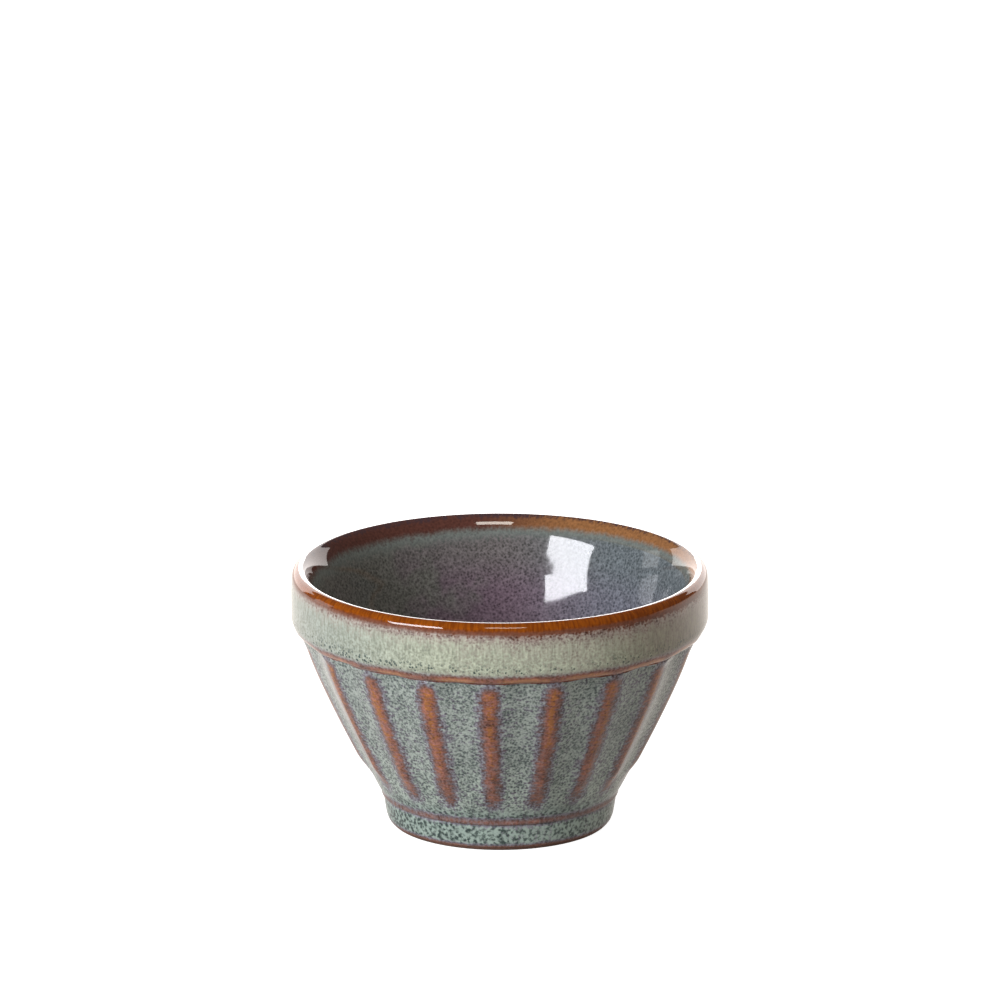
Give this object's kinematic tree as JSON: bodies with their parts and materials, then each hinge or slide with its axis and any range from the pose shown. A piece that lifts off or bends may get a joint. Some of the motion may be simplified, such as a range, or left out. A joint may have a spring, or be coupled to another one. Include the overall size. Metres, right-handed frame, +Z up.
{
  "type": "cup",
  "caption": "Small handleless fluted cup with a plain collar, flared lip and turned foot, in green reactive glaze that breaks brown on its edges, for a hot drink.",
  "frame": {"origin": "centre of the foot ring on the table", "axes": "+Z up along the axis of the cup, +X through the crest of one ridge"},
  "size_m": [0.0949, 0.095, 0.0595],
  "materials": {
    "fired_clay": "bare fired clay, fine dry grain, seen only on the foot ring",
    "outer_glaze": "glossy green reactive glaze with dark and pale specks, rust brown and mauve where it is thin on ridges and edges",
    "lip_glaze": "glossy amber brown, thin over the lip",
    "inner_glaze": "glossy plum grey mottle, greener towards the lip with brown runs under it",
    "base_glaze": "thin green glaze inside the foot ring"
  },
  "bodies": {
    "root": {"clay_body": "fired_clay", "outer_glaze": "outer_glaze", "lip_glaze": "lip_glaze", "inner_glaze": "inner_glaze", "base_glaze": "base_glaze"}
  },
  "joints": []
}
